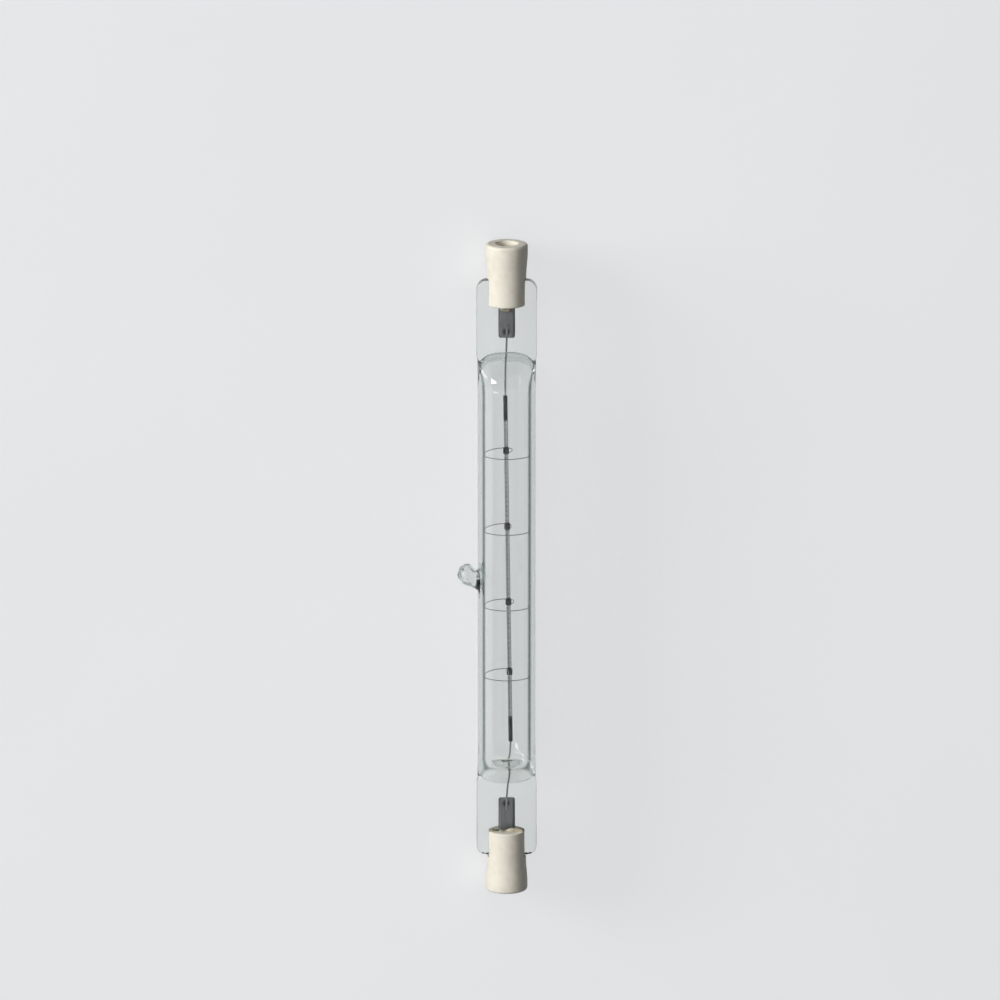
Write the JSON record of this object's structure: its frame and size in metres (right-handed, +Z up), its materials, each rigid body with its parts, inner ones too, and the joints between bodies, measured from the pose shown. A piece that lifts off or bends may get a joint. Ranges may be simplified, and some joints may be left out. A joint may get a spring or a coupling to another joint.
{
  "type": "linear halogen bulb",
  "caption": "Double-ended linear halogen bulb: clear quartz tube with flat pinch seals, side exhaust tip, coiled filament on wire supports and white ceramic end caps.",
  "frame": {"origin": "middle of the lamp's axis", "axes": "+X along the lamp's axis, +Z up as the lamp lies on a floor, with the exhaust tip towards -Y and down on the floor"},
  "size_m": [0.118, 0.013, 0.0102],
  "materials": {
    "quartz": "clear, polished",
    "ceramic": "fine unglazed white steatite",
    "nickel": "nickel",
    "cement": "rough cement",
    "molybdenum": "dull grey metal",
    "tungsten": "dark drawn wire",
    "lead_wire": "bright drawn molybdenum wire"
  },
  "bodies": {
    "root": {"quartz_envelope": "quartz", "filament": "tungsten", "filament_support_1": "tungsten", "filament_support_2": "tungsten", "filament_support_3": "tungsten", "filament_support_4": "tungsten", "left_ceramic_cap": "ceramic", "left_contact": "nickel", "left_cap_cement": "cement", "left_foil": "molybdenum", "left_outer_lead": "molybdenum", "left_inner_lead": "lead_wire", "right_ceramic_cap": "ceramic", "right_contact": "nickel", "right_cap_cement": "cement", "right_foil": "molybdenum", "right_outer_lead": "molybdenum", "right_inner_lead": "lead_wire"}
  },
  "joints": []
}
